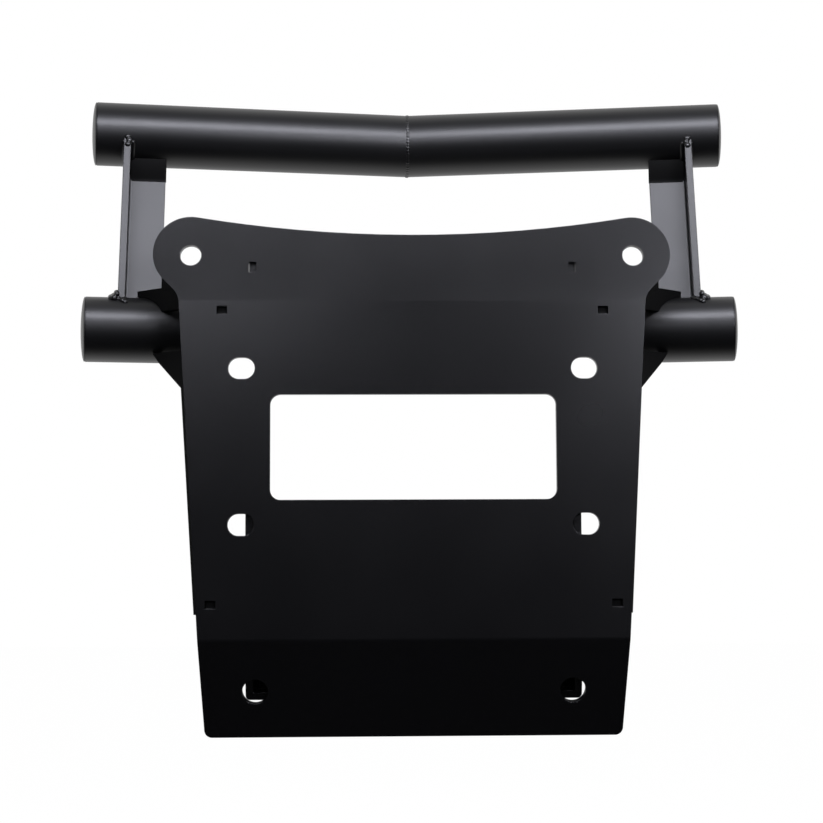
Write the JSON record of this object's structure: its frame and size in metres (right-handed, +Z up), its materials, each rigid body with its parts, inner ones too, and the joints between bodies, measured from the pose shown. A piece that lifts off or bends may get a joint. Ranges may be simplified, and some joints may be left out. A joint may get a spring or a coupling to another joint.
{
  "type": "atv front bumper",
  "caption": "Black welded steel front bumper with two swept tube bars, uprights and side gussets on a folded, slotted mounting plate with a rectangular window.",
  "frame": {"origin": "middle of the four slots, on the rear face of the mounting plate", "axes": "+Y forward and away from the vehicle, +Z up, +X to the right as seen from the seat; the plate's middle flat is vertical"},
  "size_m": [0.4518, 0.1442, 0.4395],
  "materials": {
    "plate": "satin black powder coat on flat sheet",
    "frame": "satin black powder coat on tube and brackets",
    "weld": "satin black powder coat over weld beads"
  },
  "bodies": {
    "root": {"centre_seam_weld": "weld", "cross_channel": "frame", "lower_cap_left": "frame", "lower_cap_right": "frame", "lower_pan": "frame", "lower_tube_left": "frame", "lower_tube_right": "frame", "mount_plate": "plate", "side_gusset_left": "frame", "side_gusset_right": "frame", "upper_cap_left": "frame", "upper_cap_right": "frame", "upper_tube_left": "frame", "upper_tube_right": "frame", "upright_foot_weld_left": "weld", "upright_foot_weld_right": "weld", "upright_head_weld_left": "weld", "upright_head_weld_right": "weld", "upright_left": "frame", "upright_right": "frame"}
  },
  "joints": []
}
